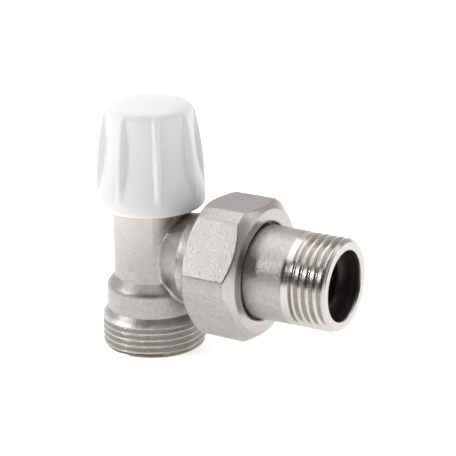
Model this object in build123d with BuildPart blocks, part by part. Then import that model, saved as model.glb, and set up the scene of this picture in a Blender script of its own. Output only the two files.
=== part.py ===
from build123d import *
import os

# Angle lockshield valve for a radiator's return pipe, in millimetres.
# The origin is the centre of the inlet's end face, +Z runs up the valve's own axis and +X runs out
# along the radiator tail. The valve is shut, its cap is screwed down and its union is tight.

# ---- Driving dimensions ----
tail_height = 22.3  # inlet end face to the tail's axis
tail_reach = 49.7  # valve axis to the tail's end face
running_gap = 0.035  # half the radial play of a screw thread or turning fit
piece_gap = 0.3  # between pieces that don't bear on each other

# Threads, each with its major radius and pitch
inlet_thread_r = 12.0  # M24 x 1.5, for a pipe's compression nut
inlet_pitch = 1.5
tail_thread_r = 10.4775  # G 1/2, for the radiator
tail_pitch = 1.814
union_thread_r = 13.2205  # G 3/4, between the body and its union nut
union_pitch = 1.814
headwork_thread_r = 7.0  # M14 x 1, between the body and the headwork
headwork_pitch = 1.0
spindle_thread_r = 5.0  # M10 x 1, between the headwork and the spindle
spindle_pitch = 1.0
cap_thread_r = 8.0  # M16 x 1.5, between the headwork and the cap
cap_pitch = 1.5
crest_share = 0.2  # share of the pitch that a crest's flat takes
root_share = 0.12  # share of the pitch that a root's flat takes
metric_depth = 0.6134  # depth of a 60 degree thread, as a share of its pitch
metric_pitch_line = 0.3248  # major radius to pitch line, as a share of the pitch
pipe_depth = 0.6403  # the same for a 55 degree pipe thread
pipe_pitch_line = 0.3202

# Body
tube_r = 8.91  # outside of the upright tube
body_height = 38.0
collar_r = 10.77  # plain band above the inlet thread
collar_low = 9.1
collar_high = 14.65
shoulder_top = 16.8  # where the cone above the collar meets the tube
shoulder_round = 2.5
inlet_thread_top = 7.2
inlet_chamfer = 0.5
socket_r = 8.1  # smooth bore behind the inlet's mouth
socket_depth = 9.5
seat_r = 4.8  # bore through the seat
seat_lip = 0.8  # width of the lip that the seal closes on
seat_rise = 6.5  # from the socket's end to the seat
lip_height = 0.6
chamber_r = 6.6
headwork_thread_length = 6.8
seal_recess_r = 7.85  # recess at the tube's top for the headwork's O-ring
seal_recess_depth = 1.2
neck_start = 4.5  # where the branch's neck begins, inside the tube
neck_half_width = 6.0
neck_half_height = 9.9
neck_end = 13.5
neck_r = 10.4
neck_draft = 0.05  # taper of the forged neck
neck_round = 1.0
branch_end = 24.9  # valve axis to the branch's end face
branch_thread_length = 8.6
branch_bore_r = 4.75
branch_wide_r = 6.5
branch_wide_from = 12.0

# Headwork
hex_size = 16.0  # across flats
hex_height = 4.5
cap_thread_length = 8.5
pilot_r = 6.2
pilot_length = 1.8  # plain end below its thread
headwork_neck_r = 6.3
relief_r = 5.15
relief_height = 2.4
stuffing_height = 8.0  # bore that the spindle's O-rings run in
gland_r = 5.6
gland_depth = 3.6

# Spindle and the obturator below it
stem_r = 3.8
spindle_proud = 1.6  # how far it stands above the headwork
spindle_thread_length = 7.6
spindle_travel_room = 2.4  # from its thread to the end of the headwork's thread
lower_shaft_r = 3.3
foot_r = 3.0
foot_height = 1.2
foot_neck_r = 2.2
socket_across = 5.0  # hexagon key
key_depth = 4.5
ring_section_r = 0.5
ring_groove_width = 1.25
ring_spacing = 2.0
washer_thick = 0.6
back_seat_thick = 0.7
seal_r = 5.85
seal_thick = 2.0
seal_hole_r = 1.9
holder_r = 6.2
holder_thick = 2.4
cup_r = 4.3
cup_height = 2.3
clip_thick = 0.5
clip_gap = 2.4  # opening of the C-shaped clip
screw_r = 1.5
screw_head_r = 2.8
screw_head_height = 1.8
screw_length = 4.0
slot_width = 0.8

# Gland
packing_thick = 1.2
gland_washer_thick = 0.6
gland_nut_height = 2.2

# Cap
skirt_overlap = 4.4  # how far the cap comes down over the body
skirt_r = 9.8  # clears the headwork's hexagon
cap_side_r = 12.5  # largest radius
cap_side_rise = 3.7  # from the rim to that radius
cap_side_arc = 80.0  # radius of the side's outline
cap_dome_arc = 28.0  # radius of the top's outline
cap_dome_rise = 1.85  # from the edge that the two outlines would meet in to the top
cap_gate_r = 0.5  # flat that the mould's gate leaves at the top's middle
cap_shoulder = 3.5
cap_rim_round = 1.25
cap_top_wall = 1.6
cap_hollow_height = 5.0  # room above the ledge for the spindle
cap_bore_lead = 0.6
gasket_thick = 1.0
gasket_inner_r = 5.9
ledge_r = 6.9
rib_count = 8
rib_turn = -3.0  # degrees from +X to the first rib
rib_width = 7.0  # degrees
flute_rise = 3.8  # from the rim to the flutes' lower ends
flute_drop = 4.1  # from the top to their upper ends
flute_bend = 8.6  # from their lower ends to where the depth is given
flute_depth = 1.66
flute_top_depth = 0.68

# Union nut and tailpiece
nut_size = 30.0  # across flats
nut_corner_r = 16.43  # the corners are turned down to this
nut_turn = -1.8  # degrees about the tail's axis
nut_overlap = 8.0  # how far it reaches back over the branch
nut_back_face_r = 14.7
nut_front_face_r = 14.1
nut_back_cone = 1.3
nut_front_cone = 1.8
nut_lip = 2.3  # thickness of the shoulder that holds the tail's collar
nut_hole_r = 11.0
nut_hole_chamfer = 0.4
nut_lead = 0.8
tail_r = 10.62  # at the nut, tapering to tail_end_r
tail_end_r = 10.5
tail_collar_r = 11.9
tail_collar_thick = 2.5
collar_gap = 0.4  # from the branch's end face to the collar
nose_base_r = 10.4
nose_length = 2.8
tail_thread_length = 8.7
land_length = 1.6
land_r = 10.45
land_draft = 0.03
tail_chamfer_r = 9.8
tail_chamfer = 0.7
tail_bore_r = 7.93
tail_bore_depth = 5.0
tail_inner_r = 6.5
tail_ring_r = 9.0  # where the O-ring sits on the nose
tail_ring_section_r = 0.7
tail_ring_proud = 0.22
lug_height = 1.2
lug_width = 2.4
lug_length = 4.0
lug_back = 15.7  # from the tail's end face

# ---- Heights along the valve's axis and distances along the tail, from those above ----
valve_axis = Axis.Z
tail_axis = Axis((0, 0, tail_height), (1, 0, 0))
# In both profile planes the first coordinate is the radius and the second runs along the axis.
upright = Plane.XZ
lying = Plane(origin=(0, 0, tail_height), x_dir=(0, 0, 1), z_dir=(0, 1, 0))

seat_z = socket_depth + seat_rise
seal_top = seat_z + seal_thick
washer_low = seat_z - washer_thick
cup_floor = seal_top + holder_thick
cup_top = cup_floor + cup_height
foot_top = cup_floor + foot_height
clip_low = foot_top + 0.1

recess_low = body_height - seal_recess_depth
chamber_top = recess_low - headwork_thread_length
pilot_low = chamber_top - pilot_length
hex_high = body_height + hex_height
headwork_top = hex_high + cap_thread_length
gland_low = headwork_top - gland_depth
stuffing_low = gland_low - stuffing_height
relief_low = stuffing_low - relief_height
stem_thread_high = relief_low - spindle_travel_room
stem_thread_low = stem_thread_high - spindle_thread_length
spindle_top = headwork_top + spindle_proud
first_ring_z = stuffing_low + 0.9
ring_heights = (first_ring_z, first_ring_z + ring_spacing)
stuffing_r = stem_r + 0.05
ring_middle_r = stuffing_r - 0.02 - ring_section_r
ring_groove_r = ring_middle_r - ring_section_r - 0.02

ledge_z = headwork_top + gasket_thick
cap_ceiling = ledge_z + cap_hollow_height
cap_top = cap_ceiling + cap_top_wall
cap_low = body_height - skirt_overlap
cap_side_z = cap_low + cap_side_rise
cap_edge_z = cap_top - cap_dome_rise
skirt_top = hex_high + 0.5
flute_low = cap_low + flute_rise
flute_high = cap_top - flute_drop
flute_bend_z = flute_low + flute_bend

branch_back = branch_end - branch_thread_length
collar_back = branch_end + collar_gap
nut_shoulder = collar_back + tail_collar_thick
nut_back = branch_end - nut_overlap
nut_front = nut_shoulder + nut_lip
nose_tip = collar_back - nose_length
land_end = tail_reach - tail_thread_length
tail_plain_end = land_end - land_length


def male(major, pitch, depth_share, line_share):
    """Crest and root radius of a mated outside thread, cut back to just inside its pitch line."""
    return major - pitch * line_share - running_gap, major - pitch * depth_share


def female(major, pitch, line_share):
    """Crest and root radius of the matching inside thread, just outside that pitch line."""
    return major - pitch * line_share + running_gap, major + 0.01


def grooves(plane, crest, root, pitch, low, high):
    """V grooves between a thread's crests, from low to high, as faces to revolve and cut away."""
    wide = pitch * (1 - crest_share) / 2
    narrow = pitch * root_share / 2
    beyond = 0.05 if crest > root else -0.05
    turns = int((high - low) / pitch)
    first = low + (high - low - (turns - 1) * pitch) / 2
    with BuildSketch(plane) as cuts:
        for turn in range(turns):
            middle = first + turn * pitch
            with BuildLine():
                Polyline(
                    (crest + beyond, middle - wide),
                    (crest, middle - wide),
                    (root, middle - narrow),
                    (root, middle + narrow),
                    (crest, middle + wide),
                    (crest + beyond, middle + wide),
                    close=True,
                )
            make_face()
    return cuts.sketch


def turned(plane, *corners):
    """A lathe profile through these (radius, height) corners."""
    with BuildSketch(plane) as profile:
        with BuildLine():
            Polyline(*corners, close=True)
        make_face()
    return profile.sketch


def save(piece, name):
    """Labels a finished piece and writes it to its own file."""
    piece.label = name
    export_step(piece, f"parts/{name}.step")


os.makedirs("parts", exist_ok=True)

# ---- Valve body: hot-forged brass, machined at its three ends ----
inlet_root = inlet_thread_r - inlet_pitch * metric_depth
union_crest, union_root = male(union_thread_r, union_pitch, pipe_depth, pipe_pitch_line)
bore_crest, bore_root = female(headwork_thread_r, headwork_pitch, metric_pitch_line)
mouth_r = nose_base_r + piece_gap * 2**0.5
mouth_bottom = nose_tip - piece_gap

with BuildPart() as valve_body:
    with BuildSketch(upright) as outline:
        with BuildLine():
            Polyline(
                (0, 0),
                (inlet_thread_r - inlet_chamfer, 0),
                (inlet_thread_r, inlet_chamfer),
                (inlet_thread_r, inlet_thread_top),
                (collar_r, collar_low),
                (collar_r, collar_high),
                (tube_r, shoulder_top),
                (tube_r, body_height),
                (0, body_height),
                close=True,
            )
        make_face()
        collar_corner = outline.vertices().sort_by_distance((collar_r, collar_high))[0]
        fillet(collar_corner, shoulder_round)
    revolve(axis=valve_axis)
    with BuildSketch(Plane.YZ.offset(neck_start)):
        with Locations((0, tail_height)):
            Ellipse(neck_half_width, neck_half_height)
    with BuildSketch(Plane.YZ.offset(neck_end)):
        with Locations((0, tail_height)):
            Circle(neck_r)
    loft(ruled=True)
    crease = valve_body.edges(Select.LAST).filter_by(
        lambda edge: edge.geom_type not in (GeomType.CIRCLE, GeomType.LINE, GeomType.ELLIPSE)
    )
    fillet(crease, neck_round)
    revolve(
        turned(
            lying,
            (0, neck_end - 1),
            (neck_r, neck_end - 1),
            (neck_r - neck_draft, branch_back),
            (union_root, branch_back),
            (union_crest, branch_back + union_crest - union_root),
            (union_crest, branch_end - 0.6),
            (union_crest - 0.6, branch_end),
            (0, branch_end),
        ),
        axis=tail_axis,
    )
    # Passage from the inlet, through the seat, to the top of the tube
    revolve(
        turned(
            upright,
            (0, 0),
            (socket_r, 0),
            (socket_r, socket_depth),
            (seat_r, socket_depth + 1.2),
            (seat_r, seat_z),
            (seat_r + seat_lip, seat_z),
            (seat_r + seat_lip, seat_z - lip_height),
            (chamber_r, seat_z - lip_height),
            (chamber_r, chamber_top),
            (bore_crest, chamber_top),
            (bore_crest, recess_low),
            (seal_recess_r, recess_low),
            (seal_recess_r, body_height),
            (0, body_height),
        ),
        axis=valve_axis,
        mode=Mode.SUBTRACT,
    )
    # Passage along the branch, which opens into the seat that the tailpiece's nose closes on
    revolve(
        turned(
            lying,
            (0, 0),
            (branch_bore_r, 0),
            (branch_bore_r, branch_wide_from),
            (branch_wide_r, branch_wide_from + branch_wide_r - branch_bore_r),
            (branch_wide_r, mouth_bottom),
            (mouth_r - collar_back + mouth_bottom, mouth_bottom),
            (mouth_r - collar_back + branch_end, branch_end),
            (0, branch_end),
        ),
        axis=tail_axis,
        mode=Mode.SUBTRACT,
    )
    inlet_cuts = grooves(upright, inlet_thread_r, inlet_root, inlet_pitch, inlet_chamfer, inlet_thread_top)
    revolve(inlet_cuts, axis=valve_axis, mode=Mode.SUBTRACT)
    union_cuts = grooves(lying, union_crest, union_root, union_pitch, branch_back + 0.6, branch_end - 0.6)
    revolve(union_cuts, axis=tail_axis, mode=Mode.SUBTRACT)
    bore_cuts = grooves(upright, bore_crest, bore_root, headwork_pitch, chamber_top, recess_low)
    revolve(bore_cuts, axis=valve_axis, mode=Mode.SUBTRACT)
save(valve_body.part, "valve_body")

# ---- Headwork: turned from hexagonal brass bar, screwed into the body's top ----
screw_crest, screw_root = male(headwork_thread_r, headwork_pitch, metric_depth, metric_pitch_line)
cap_male_crest, cap_male_root = male(cap_thread_r, cap_pitch, metric_depth, metric_pitch_line)
stem_crest, stem_root = female(spindle_thread_r, spindle_pitch, metric_pitch_line)
screw_low = chamber_top + 0.4
screw_high = recess_low - 0.4

with BuildPart() as headwork_housing:
    revolve(
        turned(
            upright,
            (0, pilot_low),
            (pilot_r, pilot_low),
            (pilot_r, chamber_top),
            (screw_crest, screw_low),
            (screw_crest, screw_high),
            (headwork_neck_r, screw_high),
            (headwork_neck_r, body_height),
            (cap_male_root, body_height),
            (cap_male_root, hex_high),
            (cap_male_crest, hex_high + cap_male_crest - cap_male_root),
            (cap_male_crest, headwork_top - 0.3),
            (cap_male_crest - 0.3, headwork_top),
            (0, headwork_top),
        ),
        axis=valve_axis,
    )
    with BuildSketch(Plane.XY.offset(body_height)):
        RegularPolygon(hex_size / 2, 6, major_radius=False)
    extrude(amount=hex_height)
    # The hexagon's top corners are turned off on the lathe.
    corner_r = hex_size / 3**0.5
    revolve(
        turned(
            upright,
            (hex_size / 2 - 0.1, hex_high),
            (corner_r, hex_high - 0.5 * (corner_r - hex_size / 2 + 0.1)),
            (corner_r + 1, hex_high - 0.5 * (corner_r - hex_size / 2 + 0.1)),
            (corner_r + 1, hex_high),
        ),
        axis=valve_axis,
        mode=Mode.SUBTRACT,
    )
    revolve(
        turned(
            upright,
            (0, pilot_low),
            (stem_crest, pilot_low),
            (stem_crest, relief_low),
            (relief_r, relief_low),
            (relief_r, stuffing_low),
            (stuffing_r, stuffing_low),
            (stuffing_r, gland_low),
            (gland_r, gland_low),
            (gland_r, headwork_top),
            (0, headwork_top),
        ),
        axis=valve_axis,
        mode=Mode.SUBTRACT,
    )
    screw_cuts = grooves(upright, screw_crest, screw_root, headwork_pitch, screw_low, screw_high)
    revolve(screw_cuts, axis=valve_axis, mode=Mode.SUBTRACT)
    cap_cuts = grooves(
        upright, cap_male_crest, cap_male_root, cap_pitch, hex_high + 0.4, headwork_top - 0.3
    )
    revolve(cap_cuts, axis=valve_axis, mode=Mode.SUBTRACT)
    stem_cuts = grooves(upright, stem_crest, stem_root, spindle_pitch, pilot_low + 0.3, relief_low - 0.3)
    revolve(stem_cuts, axis=valve_axis, mode=Mode.SUBTRACT)
save(headwork_housing.part, "headwork_housing")

seal_space = seal_recess_r - headwork_neck_r
headwork_ring_r = (seal_recess_depth - 0.04) / 2
with BuildPart() as headwork_o_ring:
    with BuildSketch(upright):
        with Locations((headwork_neck_r + seal_space / 2, body_height - seal_recess_depth / 2)):
            Circle(headwork_ring_r)
    revolve(axis=valve_axis)
save(headwork_o_ring.part, "headwork_o_ring")

# ---- Gland: a packing ring, its washer and a slotted nut, above the spindle's O-rings ----
with BuildPart() as gland_packing:
    with BuildSketch(Plane.XY.offset(gland_low)):
        Circle(gland_r - 0.05)
        Circle(stuffing_r, mode=Mode.SUBTRACT)
    extrude(amount=packing_thick)
save(gland_packing.part, "gland_packing")

with BuildPart() as gland_washer:
    with BuildSketch(Plane.XY.offset(gland_low + packing_thick)):
        Circle(gland_r - 0.1)
        Circle(stuffing_r + 0.1, mode=Mode.SUBTRACT)
    extrude(amount=gland_washer_thick)
save(gland_washer.part, "gland_washer")

gland_nut_low = gland_low + packing_thick + gland_washer_thick
with BuildPart() as gland_nut:
    with BuildSketch(Plane.XY.offset(gland_nut_low)):
        Circle(gland_r - 0.05)
        Circle(stuffing_r + 0.1, mode=Mode.SUBTRACT)
    extrude(amount=gland_nut_height)
    with BuildSketch(Plane.XY.offset(gland_nut_low + gland_nut_height)):
        Rectangle(2 * gland_r, slot_width)
    extrude(amount=-slot_width, mode=Mode.SUBTRACT)
save(gland_nut.part, "gland_nut")

# ---- Spindle: brass, with a hexagon socket at the top and a foot that turns in the obturator ----
rod_crest, rod_root = male(spindle_thread_r, spindle_pitch, metric_depth, metric_pitch_line)

with BuildPart() as spindle:
    revolve(
        turned(
            upright,
            (0, cup_floor),
            (foot_r, cup_floor),
            (foot_r, foot_top),
            (foot_neck_r, foot_top),
            (foot_neck_r, foot_top + cup_height - foot_height + 0.4),
            (lower_shaft_r, foot_top + cup_height - foot_height + 1.4),
            (lower_shaft_r, stem_thread_low - 0.6),
            (rod_root, stem_thread_low - 0.6),
            (rod_crest, stem_thread_low - 0.2),
            (rod_crest, stem_thread_high),
            (stem_r, stem_thread_high),
            (stem_r, spindle_top - 0.4),
            (stem_r - 0.4, spindle_top),
            (0, spindle_top),
        ),
        axis=valve_axis,
    )
    rod_cuts = grooves(upright, rod_crest, rod_root, spindle_pitch, stem_thread_low, stem_thread_high)
    revolve(rod_cuts, axis=valve_axis, mode=Mode.SUBTRACT)
    for height in ring_heights:
        low = height - ring_groove_width / 2
        high = height + ring_groove_width / 2
        revolve(
            turned(
                upright,
                (ring_groove_r, low),
                (stem_r + 1, low),
                (stem_r + 1, high),
                (ring_groove_r, high),
            ),
            axis=valve_axis,
            mode=Mode.SUBTRACT,
        )
    with BuildSketch(Plane.XY.offset(spindle_top - key_depth)):
        RegularPolygon(socket_across / 2, 6, major_radius=False)
    extrude(amount=key_depth, mode=Mode.SUBTRACT)
save(spindle.part, "spindle")

for height, name in zip(ring_heights, ("spindle_o_ring_lower", "spindle_o_ring_upper")):
    with BuildPart() as spindle_o_ring:
        with BuildSketch(upright):
            with Locations((ring_middle_r, height)):
                Circle(ring_section_r)
        revolve(axis=valve_axis)
    save(spindle_o_ring.part, name)

with BuildPart() as back_seat_washer:
    with BuildSketch(Plane.XY.offset(stem_thread_high)):
        Circle(rod_crest)
        Circle(stem_r + 0.05, mode=Mode.SUBTRACT)
    extrude(amount=back_seat_thick)
save(back_seat_washer.part, "back_seat_washer")

# ---- Obturator: it rises and falls without turning, on the spindle's foot ----
cup_inner_r = foot_r + 0.06
with BuildPart() as plug_holder:
    revolve(
        turned(
            upright,
            (screw_r + 0.03, seal_top),
            (seal_r + 0.05, seal_top),
            (seal_r + 0.05, seal_top - 0.8),
            (holder_r, seal_top - 0.8),
            (holder_r, cup_floor - 0.5),
            (holder_r - 0.5, cup_floor),
            (cup_r, cup_floor),
            (cup_r, cup_top),
            (cup_inner_r, cup_top),
            (cup_inner_r, clip_low + clip_thick),
            (cup_inner_r + 0.45, clip_low + clip_thick),
            (cup_inner_r + 0.45, clip_low),
            (cup_inner_r, clip_low),
            (cup_inner_r, cup_floor),
            (0, cup_floor),
            (0, washer_low + screw_length + 0.2),
            (screw_r + 0.03, washer_low + screw_length + 0.2),
        ),
        axis=valve_axis,
    )
save(plug_holder.part, "plug_holder")

with BuildPart() as swivel_clip:
    with BuildSketch(Plane.XY.offset(clip_low + 0.02)):
        Circle(cup_inner_r + 0.4)
        Circle(foot_neck_r + 0.1, mode=Mode.SUBTRACT)
        with Locations((cup_r, 0)):
            Rectangle(2 * cup_r, clip_gap, mode=Mode.SUBTRACT)
    extrude(amount=clip_thick - 0.04)
save(swivel_clip.part, "swivel_clip")

with BuildPart() as plug_seal:
    with BuildSketch(Plane.XY.offset(seat_z)):
        Circle(seal_r)
        Circle(seal_hole_r, mode=Mode.SUBTRACT)
    extrude(amount=seal_thick)
save(plug_seal.part, "plug_seal")

with BuildPart() as plug_washer:
    with BuildSketch(Plane.XY.offset(washer_low)):
        Circle(seat_r - 1.0)
        Circle(screw_r + 0.1, mode=Mode.SUBTRACT)
    extrude(amount=washer_thick)
save(plug_washer.part, "plug_washer")

with BuildPart() as plug_screw:
    revolve(
        turned(
            upright,
            (0, washer_low - screw_head_height),
            (screw_head_r - 0.5, washer_low - screw_head_height),
            (screw_head_r, washer_low - screw_head_height + 0.5),
            (screw_head_r, washer_low),
            (screw_r, washer_low),
            (screw_r, washer_low + screw_length - 0.3),
            (screw_r - 0.3, washer_low + screw_length),
            (0, washer_low + screw_length),
        ),
        axis=valve_axis,
    )
    with BuildSketch(Plane.XY.offset(washer_low - screw_head_height)):
        Rectangle(2 * screw_head_r, slot_width)
    extrude(amount=slot_width, mode=Mode.SUBTRACT)
save(plug_screw.part, "plug_screw")

# ---- Cap: injection-moulded, threaded straight into its upper half, with eight finger ribs ----
cap_female_crest, cap_female_root = female(cap_thread_r, cap_pitch, metric_pitch_line)


def side_r(height):
    """Radius of the cap's side at this height, on the arc of its outline."""
    return cap_side_r - cap_side_arc + (cap_side_arc**2 - (height - cap_side_z) ** 2) ** 0.5


def upright_at(turn):
    """The upright profile plane, turned about the valve's axis by this many degrees from +X."""
    return Plane(
        origin=(0, 0, 0),
        x_dir=Vector(1, 0, 0).rotate(valve_axis, turn),
        z_dir=Vector(0, -1, 0).rotate(valve_axis, turn),
    )


def dome_z(radius):
    """Height of the cap's domed top at this radius."""
    return cap_top - cap_dome_arc + (cap_dome_arc**2 - radius**2) ** 0.5


with BuildPart() as lockshield_cap:
    with BuildSketch(upright) as cap_outline:
        low_corner = (side_r(cap_low), cap_low)
        side_middle = (side_r((cap_low + cap_edge_z) / 2), (cap_low + cap_edge_z) / 2)
        edge_r = side_r(cap_edge_z)
        top_corner = (edge_r, dome_z(edge_r))
        gate_edge = (cap_gate_r, dome_z(cap_gate_r))
        with BuildLine():
            Line((0, cap_low), low_corner)
            ThreePointArc(low_corner, side_middle, top_corner)
            ThreePointArc(top_corner, (edge_r / 2, dome_z(edge_r / 2)), gate_edge)
            Polyline(gate_edge, (0, dome_z(cap_gate_r)), (0, cap_low))
        make_face()
        fillet(cap_outline.vertices().sort_by_distance(top_corner)[0], cap_shoulder)
        fillet(cap_outline.vertices().sort_by_distance(low_corner)[0], cap_rim_round)
    revolve(axis=valve_axis)
    # Flutes between the ribs, each with a hollow arc for a floor and steep sides
    flute_span = 360 / rib_count - rib_width
    flute_start = (side_r(flute_low), flute_low)
    flute_middle = (side_r(flute_bend_z) - flute_depth, flute_bend_z)
    flute_end = (side_r(flute_high) - flute_top_depth, flute_high)
    for rib in range(rib_count):
        turn = rib_turn + rib_width / 2 + rib * 360 / rib_count
        with BuildSketch(upright_at(turn)):
            with BuildLine():
                ThreePointArc(flute_start, flute_middle, flute_end)
                Polyline(
                    flute_end,
                    (cap_side_r + 1, flute_high),
                    (cap_side_r + 1, flute_low),
                    flute_start,
                )
            make_face()
        revolve(axis=valve_axis, revolution_arc=flute_span, mode=Mode.SUBTRACT)
    revolve(
        turned(
            upright,
            (0, cap_low),
            (skirt_r, cap_low),
            (skirt_r, skirt_top),
            (cap_female_crest + cap_bore_lead, skirt_top),
            (cap_female_crest, skirt_top + cap_bore_lead),
            (cap_female_crest, ledge_z),
            (ledge_r, ledge_z),
            (ledge_r, cap_ceiling),
            (0, cap_ceiling),
        ),
        axis=valve_axis,
        mode=Mode.SUBTRACT,
    )
    inner_cuts = grooves(
        upright, cap_female_crest, cap_female_root, cap_pitch, skirt_top + cap_bore_lead, ledge_z - 0.2
    )
    revolve(inner_cuts, axis=valve_axis, mode=Mode.SUBTRACT)
save(lockshield_cap.part, "lockshield_cap")

with BuildPart() as cap_gasket:
    with BuildSketch(Plane.XY.offset(headwork_top)):
        Circle(cap_male_crest)
        Circle(gasket_inner_r, mode=Mode.SUBTRACT)
    extrude(amount=gasket_thick)
save(cap_gasket.part, "cap_gasket")

# ---- Union nut: forged hexagon with its corners turned down and both ends chamfered ----
nut_crest, nut_root = female(union_thread_r, union_pitch, pipe_pitch_line)
nut_plane = Plane(origin=(nut_back, 0, tail_height), x_dir=(0, 0, 1), z_dir=(1, 0, 0))

with BuildPart() as union_nut:
    revolve(
        turned(
            lying,
            (0, nut_back),
            (nut_back_face_r, nut_back),
            (nut_corner_r, nut_back + nut_back_cone),
            (nut_corner_r, nut_front - nut_front_cone),
            (nut_front_face_r, nut_front),
            (0, nut_front),
        ),
        axis=tail_axis,
    )
    # The flats face up and down, so two of the hexagon's corners point sideways.
    with BuildSketch(nut_plane):
        RegularPolygon(nut_size / 2, 6, major_radius=False, rotation=30 + nut_turn)
    extrude(amount=nut_front - nut_back, mode=Mode.INTERSECT)
    revolve(
        turned(
            lying,
            (0, nut_back),
            (nut_root + 0.2, nut_back),
            (nut_crest, nut_back + nut_root + 0.2 - nut_crest),
            (nut_crest, nut_shoulder),
            (nut_hole_r, nut_shoulder),
            (nut_hole_r, nut_front - nut_hole_chamfer),
            (nut_hole_r + nut_hole_chamfer, nut_front),
            (0, nut_front),
        ),
        axis=tail_axis,
        mode=Mode.SUBTRACT,
    )
    nut_cuts = grooves(lying, nut_crest, nut_root, union_pitch, nut_back + nut_lead, collar_back)
    revolve(nut_cuts, axis=tail_axis, mode=Mode.SUBTRACT)
save(union_nut.part, "union_nut")

# ---- Tailpiece: turned brass, its nose held in the body's mouth by the union nut ----
tail_root = tail_thread_r - tail_pitch * pipe_depth
nose_tip_r = nose_base_r - (collar_back - nose_tip)
ring_x = collar_back - (nose_base_r - tail_ring_r)
inward = (tail_ring_section_r - tail_ring_proud) / 2**0.5
ring_centre = (tail_ring_r - inward, ring_x + inward)

with BuildPart() as tailpiece:
    revolve(
        turned(
            lying,
            (0, nose_tip),
            (nose_tip_r, nose_tip),
            (nose_base_r, collar_back),
            (tail_collar_r, collar_back),
            (tail_collar_r, nut_shoulder),
            (tail_r, nut_shoulder),
            (tail_end_r, tail_plain_end),
            (land_r, tail_plain_end),
            (land_r - land_draft, land_end),
            (tail_thread_r, land_end),
            (tail_thread_r, tail_reach - tail_chamfer),
            (tail_chamfer_r, tail_reach),
            (0, tail_reach),
        ),
        axis=tail_axis,
    )
    revolve(
        turned(
            lying,
            (0, nose_tip),
            (tail_inner_r, nose_tip),
            (tail_inner_r, tail_reach - tail_bore_depth),
            (tail_bore_r, tail_reach - tail_bore_depth),
            (tail_bore_r, tail_reach),
            (0, tail_reach),
        ),
        axis=tail_axis,
        mode=Mode.SUBTRACT,
    )
    tail_cuts = grooves(lying, tail_thread_r, tail_root, tail_pitch, land_end, tail_reach - 0.2)
    revolve(tail_cuts, axis=tail_axis, mode=Mode.SUBTRACT)
    # Groove for the O-ring, across the cone of the nose
    with BuildSketch(lying):
        with Locations(ring_centre):
            Circle(tail_ring_section_r + 0.05)
    revolve(axis=tail_axis, mode=Mode.SUBTRACT)
    # Two lugs inside, for the stepped key that screws the tail into the radiator
    for side in (1, -1):
        with BuildSketch(Plane.YZ.offset(tail_reach - lug_back)):
            with Locations((side * (tail_inner_r - lug_height / 2 + 0.2), tail_height)):
                Rectangle(lug_height + 0.4, lug_width)
        extrude(amount=lug_length)
save(tailpiece.part, "tailpiece")

with BuildPart() as tailpiece_o_ring:
    with BuildSketch(lying):
        with Locations(ring_centre):
            Circle(tail_ring_section_r)
    revolve(axis=tail_axis)
save(tailpiece_o_ring.part, "tailpiece_o_ring")
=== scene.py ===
"""Angle lockshield valve: nickel-plated brass body, union nut and radiator tail, and a white moulded cap.

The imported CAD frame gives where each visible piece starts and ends. The profiles between repeat the
CAD's sizes, as named values in each section. Lengths there are millimetres, and meshes are in metres.
"""

import bmesh
import bpy
import numpy as np
from mathutils import Matrix, Vector


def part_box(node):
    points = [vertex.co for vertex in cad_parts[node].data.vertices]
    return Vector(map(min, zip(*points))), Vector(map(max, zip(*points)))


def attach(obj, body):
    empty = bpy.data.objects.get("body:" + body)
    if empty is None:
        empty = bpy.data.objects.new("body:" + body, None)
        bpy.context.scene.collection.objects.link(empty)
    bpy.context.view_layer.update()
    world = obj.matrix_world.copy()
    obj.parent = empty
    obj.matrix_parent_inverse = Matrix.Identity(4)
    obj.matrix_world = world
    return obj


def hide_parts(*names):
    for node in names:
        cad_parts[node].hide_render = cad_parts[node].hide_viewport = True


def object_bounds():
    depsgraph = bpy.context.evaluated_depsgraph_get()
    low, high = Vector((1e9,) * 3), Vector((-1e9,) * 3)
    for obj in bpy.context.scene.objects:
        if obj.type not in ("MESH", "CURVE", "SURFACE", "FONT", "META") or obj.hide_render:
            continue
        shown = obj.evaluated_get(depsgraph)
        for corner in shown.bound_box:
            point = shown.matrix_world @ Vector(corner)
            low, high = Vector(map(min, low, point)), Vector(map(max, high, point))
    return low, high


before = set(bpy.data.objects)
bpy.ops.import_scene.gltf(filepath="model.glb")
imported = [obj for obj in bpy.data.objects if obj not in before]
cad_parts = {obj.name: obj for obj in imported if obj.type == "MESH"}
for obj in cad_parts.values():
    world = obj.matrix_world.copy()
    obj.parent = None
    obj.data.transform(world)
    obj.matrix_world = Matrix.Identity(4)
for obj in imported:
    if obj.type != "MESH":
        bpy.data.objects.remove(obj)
cad_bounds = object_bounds()
MM = 0.001

# ---------------------------------------------------------------------------------------------
# Floor, light and camera: a white table in a white tent, as small fittings are photographed. The
# main lamp is a large soft box overhead, with a small one at the front left and two weak ones to
# fill in. The tent is dark toward the camera, which gives the metal its edges.
# ---------------------------------------------------------------------------------------------


def linear(code):
    """A colour's sRGB hex code as linear red, green, blue and an alpha of one."""
    srgb = np.array([int(code[i : i + 2], 16) for i in (1, 3, 5)]) / 255
    low = srgb / 12.92
    high = ((srgb + 0.055) / 1.055) ** 2.4
    return (*np.where(srgb <= 0.04045, low, high).tolist(), 1.0)


def add_node(tree, kind, inputs=None, **settings):
    """Adds a node with its settings. Each input is a value, or a socket to be linked."""
    new = tree.nodes.new(kind)
    for name, value in settings.items():
        setattr(new, name, value)
    for name, value in (inputs or {}).items():
        if isinstance(value, bpy.types.NodeSocket):
            tree.links.new(value, new.inputs[name])
        else:
            new.inputs[name].default_value = value
    return new


def new_material(name):
    """An empty material: its node tree and its surface output."""
    material = bpy.data.materials.new(name)
    material.use_nodes = True
    material.node_tree.nodes.clear()
    return material, material.node_tree, material.node_tree.nodes.new("ShaderNodeOutputMaterial")


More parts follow.
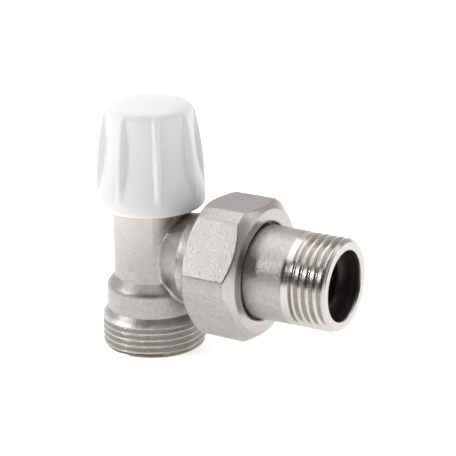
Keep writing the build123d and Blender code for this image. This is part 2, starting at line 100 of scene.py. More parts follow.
def stage_floor():
    """White acrylic table: a flat square far larger than the view, and its material."""
    half_side = 3.0
    drop = 0.05 * MM  # so that the valve's end face doesn't share the table's plane
    ends = (-half_side, half_side)
    mesh = bpy.data.meshes.new("table")
    mesh.from_pydata([(x, y, -drop) for x in ends for y in ends], [], [(0, 2, 3, 1)])
    table = bpy.data.objects.new("table", mesh)
    bpy.context.scene.collection.objects.link(table)
    material, tree, output = new_material("white_acrylic_table")
    place = add_node(tree, "ShaderNodeTexCoord")
    haze = add_node(tree, "ShaderNodeTexNoise", {"Vector": place.outputs["Object"], "Scale": 12.0})
    roughness = add_node(
        tree, "ShaderNodeMapRange", {"Value": haze.outputs["Fac"], "To Min": 0.6, "To Max": 0.7}
    )
    shader = add_node(
        tree,
        "ShaderNodeBsdfPrincipled",
        {
            "Base Color": linear("#F2F2F2"),
            "Roughness": roughness.outputs["Result"],
            "Emission Color": linear("#FFFFFF"),
            "Emission Strength": 0.62,
        },
    )
    tree.links.new(shader.outputs[0], output.inputs["Surface"])
    mesh.materials.append(material)


def soft_lamp(name, size, place, target, watts, colour):
    """A soft box of a width and height at a place, facing a target, all in metres."""
    data = bpy.data.lights.new(name, "AREA")
    data.shape = "RECTANGLE"
    data.size, data.size_y = size
    data.energy = watts
    data.color = linear(colour)[:3]
    lamp = bpy.data.objects.new(name, data)
    facing = (Vector(target) - Vector(place)).to_track_quat("-Z", "Y")
    lamp.matrix_world = Matrix.Translation(place) @ facing.to_matrix().to_4x4()
    bpy.context.scene.collection.objects.link(lamp)


stage_floor()
middle = (cad_bounds[0] + cad_bounds[1]) / 2
for name, size, place, watts, colour in (
    ("left_box", (0.6, 0.6), (-0.9, -0.15, 0.4), 0.4, "#FFFFFF"),
    ("front_left_box", (0.22, 0.22), (-0.68, -0.68, 0.55), 3.4, "#FFFFFF"),
    ("overhead_box", (1.1, 1.1), (-0.05, 0.0, 0.9), 6.4, "#FFFFFF"),
    ("back_right_strip", (0.25, 0.7), (0.7, 0.55, 0.35), 0.7, "#FFFDF8"),
):
    soft_lamp(name, size, place, middle, watts, colour)

tent = bpy.data.worlds.new("photo_tent")
tent.use_nodes = True
tent.node_tree.nodes.clear()
tent_output = tent.node_tree.nodes.new("ShaderNodeOutputWorld")
direction = add_node(tent.node_tree, "ShaderNodeTexCoord")
toward = add_node(tent.node_tree, "ShaderNodeSeparateXYZ", {"Vector": direction.outputs["Generated"]})
# The tent is brighter on the left than on the right, and far brighter behind than in front.
side = add_node(
    tent.node_tree,
    "ShaderNodeMapRange",
    {"Value": toward.outputs["X"], "From Min": -0.7, "From Max": 0.8, "To Min": 0.56, "To Max": 0.34},
    interpolation_type="SMOOTHSTEP",
)
front = add_node(
    tent.node_tree,
    "ShaderNodeMapRange",
    {"Value": toward.outputs["Y"], "From Min": -0.7, "From Max": 0.3, "To Min": 0.12, "To Max": 1.6},
    interpolation_type="SMOOTHSTEP",
)
shade = add_node(
    tent.node_tree,
    "ShaderNodeMath",
    {0: side.outputs["Result"], 1: front.outputs["Result"]},
    operation="MULTIPLY",
)
tent_light = add_node(
    tent.node_tree, "ShaderNodeBackground", {"Color": linear("#FFFFFF"), "Strength": shade.outputs[0]}
)
tent.node_tree.links.new(tent_light.outputs[0], tent_output.inputs["Surface"])
bpy.context.scene.world = tent
bpy.context.scene.view_settings.view_transform = "Standard"

# The camera stands to the front right of the valve, above it, and looks at it through a long lens.
camera_data = bpy.data.cameras.new("product_camera")
camera_data.sensor_width = 36.0
camera_data.lens = 137.0
camera_data.clip_start = 0.01
camera = bpy.data.objects.new("product_camera", camera_data)
azimuth, elevation, roll = np.radians((30.886, 19.183, -0.792))
stand = (208.3 * MM, -314.3 * MM, 158.24 * MM)
turn = (
    Matrix.Rotation(azimuth, 4, "Z")
    @ Matrix.Rotation(np.pi / 2 - elevation, 4, "X")
    @ Matrix.Rotation(roll, 4, "Z")
)
camera.matrix_world = Matrix.Translation(stand) @ turn
bpy.context.scene.collection.objects.link(camera)
bpy.context.scene.camera = camera

# ---------------------------------------------------------------------------------------------
# Valve body: brass hot-forged to shape, blasted with fine grit, then bored, threaded and plated
# with nickel. The forged skin comes from the CAD node, and its two threads are cut here as true
# helices.
# ---------------------------------------------------------------------------------------------


def box_mm(node):
    """The lowest and the highest corner of a CAD node's box, in millimetres."""
    return [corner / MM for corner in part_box(node)]


tail_box = box_mm("tailpiece")
tail_height = (tail_box[0].z + tail_box[1].z) / 2
branch_end = box_mm("valve_body")[1].x


def blasted_nickel():
    """Nickel plate on grit-blasted brass: a warm grey satin with a fine, even grain.

    Its grain is 0.5 mm across, coarser than real grit, so that it shows. Patches vary tone and gloss.
    """
    material, tree, output = new_material("blasted_nickel_plate")
    grain_size, patch_size, pit_depth = 0.5 * MM, 1.4 * MM, 0.1 * MM
    place = add_node(tree, "ShaderNodeTexCoord").outputs["Object"]
    grain = add_node(
        tree,
        "ShaderNodeTexNoise",
        {"Vector": place, "Scale": 1 / grain_size, "Detail": 3.0, "Roughness": 0.75},
    )
    patches = add_node(tree, "ShaderNodeTexNoise", {"Vector": place, "Scale": 1 / patch_size, "Detail": 4.0})
    tone = add_node(tree, "ShaderNodeValToRGB", {"Fac": patches.outputs["Fac"]})
    tone.color_ramp.elements[0].position = 0.3
    tone.color_ramp.elements[0].color = linear("#A19C99")
    tone.color_ramp.elements[1].position = 0.7
    tone.color_ramp.elements[1].color = linear("#ADA9A6")
    speckle = add_node(
        tree,
        "ShaderNodeMix",
        {"Factor": 0.6, "A": tone.outputs["Color"], "B": grain.outputs["Fac"]},
        data_type="RGBA",
        blend_type="SOFT_LIGHT",
    )
    # Pointy outer edges are painted lighter: partly handling wear, which polishes them first, and partly a
    # painted highlight along the edges.
    geometry = add_node(tree, "ShaderNodeNewGeometry")
    edges = add_node(
        tree,
        "ShaderNodeMapRange",
        {"Value": geometry.outputs["Pointiness"], "From Min": 0.53, "From Max": 0.63},
    )
    worn_and_highlit = add_node(
        tree,
        "ShaderNodeMix",
        {"Factor": edges.outputs["Result"], "A": speckle.outputs[2], "B": linear("#DAD7D4")},
        data_type="RGBA",
    )
    gloss = add_node(
        tree,
        "ShaderNodeMapRange",
        {"Value": patches.outputs["Fac"], "From Min": 0.3, "From Max": 0.7, "To Min": 0.34, "To Max": 0.43},
    )
    pits = add_node(
        tree, "ShaderNodeBump", {"Height": grain.outputs["Fac"], "Strength": 0.8, "Distance": pit_depth}
    )
    shader = add_node(
        tree,
        "ShaderNodeBsdfPrincipled",
        {
            "Base Color": worn_and_highlit.outputs[2],
            "Metallic": 1.0,
            "Roughness": gloss.outputs["Result"],
            "Normal": pits.outputs["Normal"],
        },
    )
    tree.links.new(shader.outputs[0], output.inputs["Surface"])
    return material


def turned_metal(name, axis, axis_point, light, dark, gloss_low, gloss_high):
    """Metal cut on a lathe: fine rings about its axis, in its tone, gloss and relief.

    The rings are a one-dimensional noise of distance along the axis plus a share of the distance
    from it, so they run round walls, flanks and end faces alike. They are 0.35 mm apart, coarser
    than a real tool's feed, so that they show.
    """
    material, tree, output = new_material(name)
    ring_gap, smear_size, ring_depth = 0.35 * MM, 1.1 * MM, 0.02 * MM
    face_share = 0.37
    place = add_node(tree, "ShaderNodeTexCoord").outputs["Object"]
    spin = (0, -np.pi / 2, 0) if axis == "X" else (0, 0, 0)
    centre = Vector(axis_point) * MM
    moved = add_node(tree, "ShaderNodeVectorMath", {0: place, 1: centre}, operation="SUBTRACT")
    upright = add_node(
        tree,
        "ShaderNodeVectorRotate",
        {"Vector": moved.outputs[0], "Rotation": spin},
        rotation_type="EULER_XYZ",
    )
    split = add_node(tree, "ShaderNodeSeparateXYZ", {"Vector": upright.outputs[0]})
    flat = add_node(tree, "ShaderNodeCombineXYZ", {"X": split.outputs["X"], "Y": split.outputs["Y"]})
    radius = add_node(tree, "ShaderNodeVectorMath", {0: flat.outputs[0]}, operation="LENGTH")
    feed = add_node(
        tree,
        "ShaderNodeMath",
        {0: radius.outputs["Value"], 1: face_share, 2: split.outputs["Z"]},
        operation="MULTIPLY_ADD",
    )
    rings = add_node(
        tree,
        "ShaderNodeTexNoise",
        {"W": feed.outputs[0], "Scale": 1 / ring_gap, "Detail": 3.0},
        noise_dimensions="1D",
    )
    smears = add_node(tree, "ShaderNodeTexNoise", {"Vector": place, "Scale": 1 / smear_size, "Detail": 3.0})
    tone = add_node(
        tree,
        "ShaderNodeMix",
        {"Factor": rings.outputs["Fac"], "A": linear(dark), "B": linear(light)},
        data_type="RGBA",
    )
    both = add_node(
        tree, "ShaderNodeMath", {0: rings.outputs["Fac"], 1: smears.outputs["Fac"]}, operation="MULTIPLY"
    )
    gloss = add_node(
        tree,
        "ShaderNodeMapRange",
        {
            "Value": both.outputs[0],
            "From Min": 0.1,
            "From Max": 0.4,
            "To Min": gloss_low,
            "To Max": gloss_high,
        },
    )
    relief = add_node(
        tree, "ShaderNodeBump", {"Height": rings.outputs["Fac"], "Strength": 0.15, "Distance": ring_depth}
    )
    shader = add_node(
        tree,
        "ShaderNodeBsdfPrincipled",
        {
            "Base Color": tone.outputs[2],
            "Metallic": 1.0,
            "Roughness": gloss.outputs["Result"],
            "Normal": relief.outputs["Normal"],
        },
    )
    tree.links.new(shader.outputs[0], output.inputs["Surface"])
    return material


def eased(share):
    """A share from 0 to 1 that starts and ends level: three times its square less twice its cube."""
    return share * share * (3 - 2 * share)


def thread_form(turns, crest_share=0.16, root_share=0.1, easing=0.35):
    """Depth of a V thread, from 0 on its crest to 1 in its root, after this many turns or pitches.

    A triangle wave of the turns, cut off flat at both ends and eased a little at the corners.
    """
    wave = np.abs(np.mod(turns, 1.0) - 0.5) * 2
    ramp = np.clip((1 - crest_share - wave) / (1 - crest_share - root_share), 0, 1)
    return (1 - easing) * ramp + easing * eased(ramp)


def lathe_rings(path, segments, wall, pitch, depth, thread_from, thread_to, run_out):
    """Rings of a turned piece, as an array of station, angle and (radius, distance, angle).

    Each station of the path is (radius, distance). At the stations that `wall` marks, the radius
    loses the helical thread's depth, which fades in and out over run_out at the thread's two ends.
    A negative depth cuts an inside thread.
    """
    angles = np.linspace(0, 2 * np.pi, segments, endpoint=False)
    radius = np.repeat(path[:, :1], segments, axis=1)
    along = np.repeat(path[:, 1:2], segments, axis=1)
    around = np.repeat(angles[None, :], len(path), axis=0)
    fade_in = np.clip((along - thread_from) / run_out, 0, 1)
    fade_out = np.clip((thread_to - along) / run_out, 0, 1)
    cut = depth * thread_form(along / pitch - around / (2 * np.pi))
    radius = radius - np.where(wall[:, None], cut * fade_in * fade_out, 0)
    return np.stack([radius, along, around], axis=2)


def along_axis(rings, axis):
    """Rings of (radius, distance, angle) as points in millimetres, about the valve's or tail's axis."""
    radius, along, around = rings[..., 0], rings[..., 1], rings[..., 2]
    if axis == "Z":
        return np.stack([radius * np.cos(around), radius * np.sin(around), along], axis=-1)
    return np.stack([along, -radius * np.sin(around), tail_height + radius * np.cos(around)], axis=-1)


def ring_faces(stations, segments):
    """Quads between each ring and the next, and from the last ring back to the first."""
    rows = np.arange(stations)
    columns = np.arange(segments)
    here, beside = rows[:, None] * segments, np.mod(columns + 1, segments)
    above = np.mod(rows + 1, stations)[:, None] * segments
    return np.stack([here + columns, here + beside, above + beside, above + columns], axis=-1).reshape(-1, 4)


def dense(*corners, step):
    """A path through these (radius, distance) corners, with points at most a step apart."""
    corners = np.asarray(corners, float)
    pieces = []
    for start, end in zip(corners[:-1], corners[1:]):
        count = max(1, int(np.ceil(np.linalg.norm(end - start) / step)))
        pieces.append(start + (end - start) * np.arange(count)[:, None] / count)
    return np.concatenate([*pieces, corners[-1:]])


def joined(*meshes):
    """Several meshes as one. Each is its points, its faces and one material number or one a face."""
    points = [np.asarray(mesh[0]).reshape(-1, 3) for mesh in meshes]
    faces, numbers, before = [], [], 0
    for own_points, (_, own_faces, number) in zip(points, meshes):
        faces += [[index + before for index in face] for face in own_faces]
        numbers.append(np.broadcast_to(number, len(own_faces)))
        before += len(own_points)
    return np.concatenate(points), faces, np.concatenate(numbers)


weld_distance = 0.0005 * MM  # points nearer than this become one
plane_snap = 1e-7  # metres from a cutting plane that still count as on it


def creases(mesh, degrees):
    """Marks the edges that turn by more than an angle as sharp, and returns every edge's mark."""
    mesh.set_sharp_from_angle(angle=np.radians(degrees))
    marks = np.empty(len(mesh.edges), bool)
    mesh.attributes["sharp_edge"].data.foreach_get("value", marks)
    return marks


def add_piece(name, points, faces, material_of_face, materials, sharp_degrees):
    """A mesh object from points in millimetres, with smooth faces and creases past an angle."""
    mesh = bpy.data.meshes.new(name)
    mesh.from_pydata((points.reshape(-1, 3) * MM).tolist(), [], [list(face) for face in faces])
    for material in materials:
        mesh.materials.append(material)
    mesh.polygons.foreach_set("material_index", np.asarray(material_of_face, np.int32))
    work = bmesh.new()
    work.from_mesh(mesh)
    bmesh.ops.remove_doubles(work, verts=work.verts, dist=weld_distance)
    bmesh.ops.recalc_face_normals(work, faces=work.faces)
    work.to_mesh(mesh)
    work.free()
    mesh.polygons.foreach_set("use_smooth", np.ones(len(mesh.polygons), bool))
    creases(mesh, sharp_degrees)
    piece = bpy.data.objects.new(name, mesh)
    bpy.context.scene.collection.objects.link(piece)
    return piece


def forged_skin(cuts):
    """The body's CAD skin, merged, with everything past each cut plane removed and the cuts closed."""
    work = bmesh.new()
    work.from_mesh(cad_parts["valve_body"].data)
    bmesh.ops.remove_doubles(work, verts=work.verts, dist=weld_distance)
    for point, outward in cuts:
        whole = work.verts[:] + work.edges[:] + work.faces[:]
        bmesh.ops.bisect_plane(
            work,
            geom=whole,
            plane_co=Vector(point) * MM,
            plane_no=outward,
            dist=plane_snap,
            clear_outer=True,
        )
        rim = [edge for edge in work.edges if edge.is_boundary]
        bmesh.ops.triangle_fill(work, edges=rim, use_beauty=True)
    work.verts.index_update()
    points = np.array([vert.co for vert in work.verts]) / MM
    faces = [[vert.index for vert in face.verts] for face in work.faces]
    centres = np.array([face.calc_center_median() for face in work.faces]) / MM
    work.free()
    return points, faces, centres


inlet_r, inlet_top, inlet_chamfer = 12.0, 7.2, 0.5
inlet_pitch, inlet_depth, inlet_segments = 1.5, 0.92, 224
socket_r = 8.1
sleeve_wall = 1.3  # depth of the inlet's threaded sleeve at its top
lap = 0.1  # how far that sleeve runs into the skin above it
union_crest, union_chamfer, union_segments = 12.605, 0.6, 192
union_pitch, union_depth, union_length = 1.814, 0.55, 8.6
thread_back = branch_end - union_length
neck_back_r, neck_cut = 10.35, 16.2  # the forged skin ends here, and the threaded end begins
way_r = 6.5
nose_base_r, nose_gap = 10.4, 0.3  # the tail's coned nose, and its room in the branch's mouth
mouth_lip, mouth_depth = 0.4, 2.7  # flat around the mouth's edge, and how deep its cone goes
mouth_r = nose_base_r + nose_gap * 2**0.5 - mouth_lip

body_nickel = blasted_nickel()
turned_light, turned_dark = "#C2BEBB", "#A8A4A0"
tail_centre = (0, 0, tail_height)
body_turned = turned_metal(
    "turned_nickel_plate_body", "Z", (0, 0, 0), turned_light, turned_dark, 0.16, 0.3
)
branch_turned = turned_metal(
    "turned_nickel_plate_branch", "X", tail_centre, turned_light, turned_dark, 0.16, 0.3
)

inlet_outer = dense(
    (socket_r, 0),
    (inlet_r - inlet_chamfer, 0),
    (inlet_r, inlet_chamfer),
    (inlet_r, inlet_top + lap / 2),
    step=0.06,
)
inlet_inner = dense(
    (inlet_r - sleeve_wall, inlet_top + lap), (socket_r, inlet_top + lap), (socket_r, 0), step=0.8
)[:-1]
inlet_path = np.concatenate([inlet_outer, inlet_inner])
inlet_rings = lathe_rings(
    inlet_path,
    inlet_segments,
    wall=inlet_path[:, 0] > inlet_r - inlet_chamfer - lap,
    pitch=inlet_pitch,
    depth=inlet_depth,
    thread_from=0.0,
    thread_to=inlet_top + 0.02,
    run_out=0.35,
)

branch_outer = dense(
    (neck_back_r, neck_cut),
    (neck_back_r, thread_back),
    (union_crest - union_chamfer, thread_back),
    (union_crest, thread_back + union_chamfer),
    (union_crest, branch_end - union_chamfer),
    (union_crest - union_chamfer, branch_end),
    step=0.1,
)
branch_inner = dense(
    (mouth_r, branch_end),
    (mouth_r - mouth_depth, branch_end - mouth_depth),
    (way_r, branch_end - mouth_depth),
    (way_r, neck_cut),
    (neck_back_r, neck_cut),
    step=0.7,
)[:-1]
branch_path = np.concatenate([branch_outer, branch_inner])
branch_rings = lathe_rings(
    branch_path,
    union_segments,
    wall=branch_path[:, 0] > union_crest - union_chamfer - 0.02,
    pitch=union_pitch,
    depth=union_depth,
    thread_from=thread_back + 0.3,
    thread_to=branch_end + 1,
    run_out=0.6,
)

skin_points, skin_faces, skin_centres = forged_skin(
    [((0, 0, inlet_top), (0, 0, -1)), ((neck_cut, 0, 0), (1, 0, 0))]
)
# Faces of the chamber up the valve's axis and of the water way along the tail's are machined. The
# two bores cross between these distances from the valve's axis.
chamber_reach, way_reach = 8.3, 6.8
way_start, chamber_end = 4, 6
in_chamber = np.hypot(skin_centres[:, 0], skin_centres[:, 1]) < chamber_reach
in_way = np.hypot(skin_centres[:, 1], skin_centres[:, 2] - tail_height) < way_reach
bored = in_chamber & (in_way | (skin_centres[:, 0] < chamber_end))
bored |= in_way & (skin_centres[:, 0] > way_start)

forged_body = add_piece(
    "forged_body",
    *joined(
        (skin_points, skin_faces, bored.astype(int)),
        (along_axis(inlet_rings, "Z"), ring_faces(len(inlet_path), inlet_segments), 1),
        (along_axis(branch_rings, "X"), ring_faces(len(branch_path), union_segments), 2),
    ),
    [body_nickel, body_turned, branch_turned],
    sharp_degrees=48.0,
)

# The threads' flanks meet in rounded crests and roots, so only steeper edges of them are creases.
thread_creases = creases(forged_body.data, 48.0)
skin_creases = creases(forged_body.data, 30.0)
edge_ends = np.empty(2 * len(forged_body.data.edges), np.int32)
forged_body.data.edges.foreach_get("vertices", edge_ends)
in_skin = (edge_ends.reshape(-1, 2) < len(skin_points)).all(axis=1)
forged_body.data.attributes["sharp_edge"].data.foreach_set(
    "value", np.where(in_skin, skin_creases, thread_creases)
)
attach(forged_body, "valve")
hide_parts("valve_body")

# ---------------------------------------------------------------------------------------------
# Radiator tail: turned from brass bar and plated. Its barrel is blasted, and the land, the G 1/2
# thread and the end stay bright from the tool. Two lugs inside take a stepped key.
# ---------------------------------------------------------------------------------------------

tail_reach = tail_box[1].x
tail_pitch, tail_depth, tail_thread_r, tail_segments = 1.814, 1.16, 10.4775, 224
tail_thread_start = tail_reach - 8.7
barrel_end = tail_thread_start - 1.6
collar_r = 11.9
collar_back = branch_end + 0.4
collar_front = collar_back + 2.5
nose_tip_r, nose_back = 7.6, collar_back - 2.8
barrel_back_r, barrel_end_r = 10.62, 10.5
land_back_r, land_r, land_step = 10.45, 10.43, 0.06  # the polished land, just below the barrel
end_r, key_r, key_depth, key_chamfer = 9.75, 7.93, 5, 0.17  # the bore's mouth takes a stepped key

tail_turned = turned_metal(
    "turned_nickel_plate_tail", "X", tail_centre, "#C8C4C1", "#ADA9A5", 0.15, 0.3
)
# The bore's and the lugs' darker greys are painted shade inside the bore.
tail_bore_turned = turned_metal(
    "nickel_bore_painted_shade", "X", tail_centre, "#8F8A84", "#5E5A55", 0.3, 0.45
)
nose_path = dense(
    (way_r, nose_back),
    (nose_tip_r, nose_back),
    (nose_base_r, collar_back),
    (collar_r, collar_back),
    (collar_r, collar_front),
    (barrel_back_r, collar_front),
    step=0.5,
)[:-1]
barrel_path = dense((barrel_back_r, collar_front), (barrel_end_r, barrel_end), step=0.6)[:-1]
land_path = dense(
    (barrel_end_r, barrel_end), (land_back_r, barrel_end + land_step), (land_r, tail_thread_start), step=0.4
)[:-1]
# The thread's end is rounded off in three steps, so that it starts in the radiator's bush.
screw_path = dense(
    (land_r, tail_thread_start),
    (tail_thread_r, tail_thread_start + 0.05),
    (tail_thread_r, tail_reach - 0.62),
    (10.3, tail_reach - 0.4),
    (9.85, tail_reach - 0.08),
    (end_r, tail_reach),
    step=0.07,
)[:-1]
face_path = dense(
    (end_r, tail_reach), (key_r + key_chamfer, tail_reach), (key_r, tail_reach - key_chamfer), step=0.5
)[:-1]
bore_path = dense(
    (key_r, tail_reach - key_chamfer),
    (key_r, tail_reach - key_depth),
    (way_r, tail_reach - key_depth),
    (way_r, nose_back),
    step=0.8,
)[:-1]
# Each stretch with its material: 0 is blasted, 1 is turned and 2 is the dull bore, whose darker colours are
# painted shade inside it.
tail_stretches = (
    (nose_path, 1),
    (barrel_path, 0),
    (land_path, 1),
    (screw_path, 1),
    (face_path, 1),
    (bore_path, 2),
)
tail_path = np.concatenate([path for path, _ in tail_stretches])
tail_material = np.concatenate([np.full(len(path), number) for path, number in tail_stretches])
is_screw = np.concatenate([np.full(len(path), path is screw_path) for path, _ in tail_stretches])
tail_rings = lathe_rings(
    tail_path,
    tail_segments,
    wall=is_screw,
    pitch=tail_pitch,
    depth=tail_depth,
    thread_from=tail_thread_start,
    thread_to=tail_reach,
    run_out=0.5,
)


def lug(side):
    """A small block inside the tail's bore, its back buried in the wall: points and faces."""
    back, front = tail_reach - 15.7, tail_reach - 11.7
    inner, outer, half = side * 5.3, side * 6.7, 1.2
    points = [
        (x, y, tail_height + z) for x in (back, front) for y in (inner, outer) for z in (-half, half)
    ]
    faces = [(0, 1, 3, 2), (4, 6, 7, 5), (0, 4, 5, 1), (2, 3, 7, 6), (0, 2, 6, 4), (1, 5, 7, 3)]
    return points, faces


radiator_tail = add_piece(
    "radiator_tail",
    *joined(
        (
            along_axis(tail_rings, "X"),
            ring_faces(len(tail_path), tail_segments),
            np.repeat(tail_material, tail_segments),
        ),
        (*lug(1), 2),
        (*lug(-1), 2),
    ),
    [body_nickel, tail_turned, tail_bore_turned],
    sharp_degrees=48.0,
)
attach(radiator_tail, "tail")
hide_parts("tailpiece")

# ---------------------------------------------------------------------------------------------
# Union nut: a forged hexagon, blasted and plated, with its corners turned down and both ends
# chamfered on the lathe. The chamfers cross the flats in curved bright edges.
# ---------------------------------------------------------------------------------------------

nut_back, nut_front = [corner.x for corner in box_mm("union_nut")]
nut_across, nut_corner_r = 30.0, 16.43
nut_turn = np.radians(-1.8)  # from a flat that faces straight up
nut_segments, nut_stations = 576, 74
nut_back_r, nut_back_slope = 14.7, 1.33  # the chamfer cone at the back, from the end face
nut_front_r, nut_front_slope = 14.1, 1.294
corner_ease, cone_ease = 0.1, 0.16
nut_bore_r, nut_mouth_r, nut_mouth_rise = 12.685, 13.2, 0.6
nut_hole_r, nut_hole_chamfer = 11.0, 0.4


def soft_least(first, second, ease):
    """The lesser of two lengths, with the corner between them eased over a few tenths."""
    near = np.clip(ease - np.abs(first - second), 0, None) / ease
    return np.minimum(first, second) - near * near * ease / 4


def front_cone_r(along):
    """Radius of the front chamfer's cone: it grows evenly from the front face backward."""
    return nut_front_r + (nut_front - along) * nut_front_slope


def nut_wall(along, around):
    """Radius of the nut's outside: the least of its flats, its turned corners and its two cones."""
    off_flat = np.mod(around - nut_turn + np.pi / 6, np.pi / 3) - np.pi / 6
    flats = nut_across / 2 / np.cos(off_flat)
    back_cone = nut_back_r + (along - nut_back) * nut_back_slope
    radius = soft_least(flats, nut_corner_r, corner_ease)
    radius = soft_least(radius, back_cone, cone_ease)
    return soft_least(radius, front_cone_r(along), cone_ease)


def spaced(start, end, count, ends):
    """Distances from start to end, closer together toward both ends: a power of the way from each."""
    even = np.linspace(-1, 1, count)
    return start + (end - start) * (0.5 + 0.5 * np.sign(even) * (1 - (1 - np.abs(even)) ** ends))


# nut_wall sets the outside's radius below, so the outside's own 0 stands for none yet.
outside = np.stack(
    [np.zeros(nut_stations), spaced(nut_back, nut_front, nut_stations, ends=1.6)], axis=1
)
front_path = dense(
    (nut_front_r, nut_front),
    (nut_hole_r + nut_hole_chamfer, nut_front),
    (nut_hole_r, nut_front - nut_hole_chamfer),
    (nut_hole_r, collar_front),
    step=0.45,
)
nut_bore = dense(
    (nut_bore_r, collar_front),
    (nut_bore_r, nut_back + nut_mouth_rise),
    (nut_mouth_r, nut_back),
    step=0.15,
)
back_path = dense((nut_mouth_r, nut_back), (nut_back_r - 0.1, nut_back), step=0.5)[1:]
nut_paths = [outside, front_path, nut_bore, back_path]
nut_path = np.concatenate(nut_paths)
is_bore = np.concatenate([np.full(len(path), path is nut_bore) for path in nut_paths])
nut_rings = lathe_rings(
    nut_path,
    nut_segments,
    wall=is_bore,
    pitch=union_pitch,
    depth=-0.5,
    thread_from=nut_back,
    thread_to=branch_end + 1.2,
    run_out=0.8,
)
nut_outer = nut_rings[:nut_stations]
nut_outer[..., 0] = nut_wall(nut_outer[..., 1], nut_outer[..., 2])
nut_smooth = turned_metal(
    "smoothed_nickel_plate_nut", "X", tail_centre, "#BAB5B2", "#A8A39F", 0.24, 0.36
)
# The outside is blasted up to the front chamfer. That cone, the end faces and the bore are smooth.
is_smooth = np.ones(nut_rings.shape[:2], int)
is_smooth[: nut_stations - 1] = nut_outer[:-1, :, 0] > front_cone_r(nut_outer[:-1, :, 1]) - 0.1
union_hexagon = add_piece(
    "union_hexagon",
    along_axis(nut_rings, "X"),
    ring_faces(len(nut_path), nut_segments),
    is_smooth.reshape(-1),
    [body_nickel, nut_smooth],
    sharp_degrees=50.0,
)
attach(union_hexagon, "union_nut")
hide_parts("union_nut")

# ---------------------------------------------------------------------------------------------
# Cap: white ABS, injection-moulded, with eight finger ribs between shallow flutes. Its thread is
# moulded inside, and its thin rim lets a little light through.
# ---------------------------------------------------------------------------------------------

cap_low, cap_top = [corner.z for corner in box_mm("lockshield_cap")]
cap_segments = 400
rib_turn = np.radians(-3.0)  # from +X to the first rib
rib_half, rib_flank = 1.4, 4.6  # degrees: half of a rib's flat crest, and the flank beside it
rib_step = np.pi / 4
side_r, side_arc, side_rise = 12.5, 80.0, 3.7  # largest radius, its outline's arc and its height
floor_r, floor_rise, floor_depth = 9.98, 20.3, 16.5  # the flutes' floor where it stands upright
floor_flare, floor_power = 2.45, 2.35
flute_ease = 0.9
rim_round = 1.25
shoulder_r, shoulder_drop, crown_slope = 3.3, 3.75, 0.3


def moulded_abs():
    """Glossy white ABS from a fine-eroded mould: soft sheen, faint texture, slightly translucent."""
    material, tree, output = new_material("moulded_white_abs")
    place = add_node(tree, "ShaderNodeTexCoord").outputs["Object"]
    flow = add_node(tree, "ShaderNodeTexNoise", {"Vector": place, "Scale": 1 / (6 * MM), "Detail": 2.0})
    skin = add_node(tree, "ShaderNodeTexNoise", {"Vector": place, "Scale": 1 / (0.4 * MM), "Detail": 2.0})
    tone = add_node(
        tree,
        "ShaderNodeMix",
        {"Factor": flow.outputs["Fac"], "A": linear("#E0E0E2"), "B": linear("#E4E4E5")},
        data_type="RGBA",
    )
    gloss = add_node(
        tree, "ShaderNodeMapRange", {"Value": skin.outputs["Fac"], "To Min": 0.34, "To Max": 0.46}
    )
    texture = add_node(
        tree, "ShaderNodeBump", {"Height": skin.outputs["Fac"], "Strength": 0.12, "Distance": 0.01 * MM}
    )
    shader = add_node(
        tree,
        "ShaderNodeBsdfPrincipled",
        {
            "Base Color": tone.outputs[2],
            "Roughness": gloss.outputs["Result"],
            "IOR": 1.53,
            "Subsurface Weight": 0.25,
            "Subsurface Radius": (1.0, 0.95, 0.9),
            "Subsurface Scale": 1.2 * MM,
            "Normal": texture.outputs["Normal"],
        },
    )
    tree.links.new(shader.outputs[0], output.inputs["Surface"])
    return material


def cap_side_r(height):
    """Radius of the cap over its ribs: an arc of 80 mm radius that stands upright near the rim."""
    return side_r - side_arc + np.sqrt(side_arc**2 - (height - cap_low - side_rise) ** 2)


def flute_r(height):
    """Radius of the flutes' floor: upright at its top, and wider by a power of the way down."""
    way_down = np.clip((cap_low + floor_rise - height) / floor_depth, 0, None)
    return floor_r + floor_flare * way_down**floor_power


def cap_outline(stations):
    """The cap's outer profile from its rim to its crown: the side, a shoulder arc and the dome.

    The shoulder is an arc of 3.3 mm radius that starts along the side and turns to the crown's slope.
    The dome is a parabola from there to the axis.
    """
    side_heights = np.linspace(cap_low + rim_round, cap_top - shoulder_drop, stations)
    side = np.stack([cap_side_r(side_heights), side_heights], axis=1)
    start, slope = side[-1], (side[-1] - side[-2]) / np.linalg.norm(side[-1] - side[-2])
    heading = np.arctan2(slope[1], slope[0])
    shoulder_stations, dome_stations, rim_stations = 26, 22, 9
    turn_by = np.linspace(heading, np.pi - crown_slope, shoulder_stations)[1:]
    centre = start + shoulder_r * np.array([-np.sin(heading), np.cos(heading)])
    shoulder = centre + shoulder_r * np.stack([np.sin(turn_by), -np.cos(turn_by)], axis=1)
    last = shoulder[-1]
    reach = np.linspace(1, 0, dome_stations)[1:]
    dome = np.stack([last[0] * reach, cap_top - (cap_top - last[1]) * reach**2], axis=1)
    rim_turn = np.linspace(-np.pi / 2, 0, rim_stations)[:-1]
    rim_middle = np.array([cap_side_r(cap_low + rim_round) - rim_round, cap_low + rim_round])
    rim = rim_middle + rim_round * np.stack([np.cos(rim_turn), np.sin(rim_turn)], axis=1)
    return np.concatenate([rim, side, shoulder, dome])


ceiling_z, ledge_z, skirt_top = 57.0, 52.0, 43.0
hollow_r, cap_bore_r, lead_in_r, lead_in, skirt_r = 6.9, 7.548, 8.15, 0.6, 9.8
outer_path = cap_outline(76)
inner_path = dense(
    (0.0, ceiling_z),
    (hollow_r, ceiling_z),
    (hollow_r, ledge_z),
    (cap_bore_r, ledge_z),
    (cap_bore_r, skirt_top + lead_in),
    (lead_in_r, skirt_top),
    (skirt_r, skirt_top),
    (skirt_r, cap_low),
    step=0.38,
)
cap_path = np.concatenate([outer_path, inner_path])
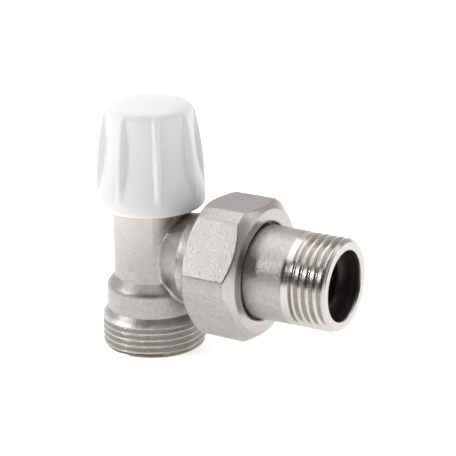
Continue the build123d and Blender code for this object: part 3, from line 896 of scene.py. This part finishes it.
# The thread is cut in the hollow's narrow stretch, between the radii of its bore and its lead-in.
is_inner = np.arange(len(cap_path)) >= len(outer_path)
sleeve = is_inner & (cap_path[:, 0] > cap_bore_r - 0.1) & (cap_path[:, 0] < lead_in_r + 0.1)
cap_rings = lathe_rings(
    cap_path,
    cap_segments,
    wall=sleeve,
    pitch=1.5,
    depth=-0.45,
    thread_from=skirt_top + 0.2,
    thread_to=ledge_z - 0.2,
    run_out=0.8,
)
outer = cap_rings[: len(outer_path)]
off_rib = np.abs(np.mod(outer[..., 2] - rib_turn + rib_step / 2, rib_step) - rib_step / 2)
flute_share = eased(np.clip((np.degrees(off_rib) - rib_half) / rib_flank, 0, 1))
flute_depth = outer[..., 0] - soft_least(outer[..., 0], flute_r(outer[..., 1]), flute_ease)
band_height, band_fade = 2.2, 1.5  # plain band above the rim, and how the flutes rise out of it
flute_depth *= np.clip((outer[..., 1] - cap_low - band_height) / band_fade, 0, 1)
outer[..., 0] -= flute_depth * flute_share
# The crown's last ring and the ceiling's first are points on the axis, so no faces join them.
cap_faces = ring_faces(len(cap_path), cap_segments)
crown = len(outer_path) - 1
cap_faces = cap_faces[np.arange(len(cap_faces)) // cap_segments != crown]
ribbed_cap = add_piece(
    "ribbed_cap",
    along_axis(cap_rings, "Z"),
    cap_faces,
    np.zeros(len(cap_faces)),
    [moulded_abs()],
    sharp_degrees=60.0,
)
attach(ribbed_cap, "cap")
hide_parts("lockshield_cap")

# ---------------------------------------------------------------------------------------------
# Headwork, spindle, obturator and seals: the turned brass, rubber, fluoroplastic and steel pieces
# inside. Their CAD shapes stay, and each gets the finish of the real one.
# ---------------------------------------------------------------------------------------------


def plain_finish(name, light, dark, patch_mm, gloss_low, gloss_high, metallic, bump):
    """A moulded, pressed or drawn surface: patches of two tones and glosses, and a slight relief."""
    material, tree, output = new_material(name)
    place = add_node(tree, "ShaderNodeTexCoord").outputs["Object"]
    patches = add_node(
        tree, "ShaderNodeTexNoise", {"Vector": place, "Scale": 1 / (patch_mm * MM), "Detail": 4.0}
    )
    tone = add_node(
        tree,
        "ShaderNodeMix",
        {"Factor": patches.outputs["Fac"], "A": linear(dark), "B": linear(light)},
        data_type="RGBA",
    )
    gloss = add_node(
        tree,
        "ShaderNodeMapRange",
        {"Value": patches.outputs["Fac"], "To Min": gloss_low, "To Max": gloss_high},
    )
    relief = add_node(
        tree, "ShaderNodeBump", {"Height": patches.outputs["Fac"], "Strength": bump, "Distance": 0.02 * MM}
    )
    shader = add_node(
        tree,
        "ShaderNodeBsdfPrincipled",
        {
            "Base Color": tone.outputs[2],
            "Metallic": metallic,
            "Roughness": gloss.outputs["Result"],
            "Normal": relief.outputs["Normal"],
        },
    )
    tree.links.new(shader.outputs[0], output.inputs["Surface"])
    return material


turned_brass = turned_metal("turned_brass", "Z", (0, 0, 0), "#D9B56A", "#B58E45", 0.2, 0.35)
seal_rubber = plain_finish("moulded_epdm_rubber", "#1C1C1C", "#121212", 0.5, 0.5, 0.7, 0.0, 0.2)
packing_ptfe = plain_finish("skived_ptfe", "#EDEDE8", "#E0E0DA", 0.8, 0.4, 0.55, 0.0, 0.2)
spring_steel = plain_finish("drawn_spring_steel", "#A8A8A8", "#8C8C8C", 0.3, 0.25, 0.4, 1.0, 0.3)
finishes = {
    turned_brass: (
        "headwork_housing",
        "gland_nut",
        "gland_washer",
        "spindle",
        "plug_holder",
        "plug_washer",
        "plug_screw",
    ),
    seal_rubber: (
        "headwork_o_ring",
        "spindle_o_ring_lower",
        "spindle_o_ring_upper",
        "plug_seal",
        "cap_gasket",
        "tailpiece_o_ring",
    ),
    packing_ptfe: ("gland_packing", "back_seat_washer"),
    spring_steel: ("swivel_clip",),
}
for finish, names in finishes.items():
    for name in names:
        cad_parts[name].material_slots[0].material = finish
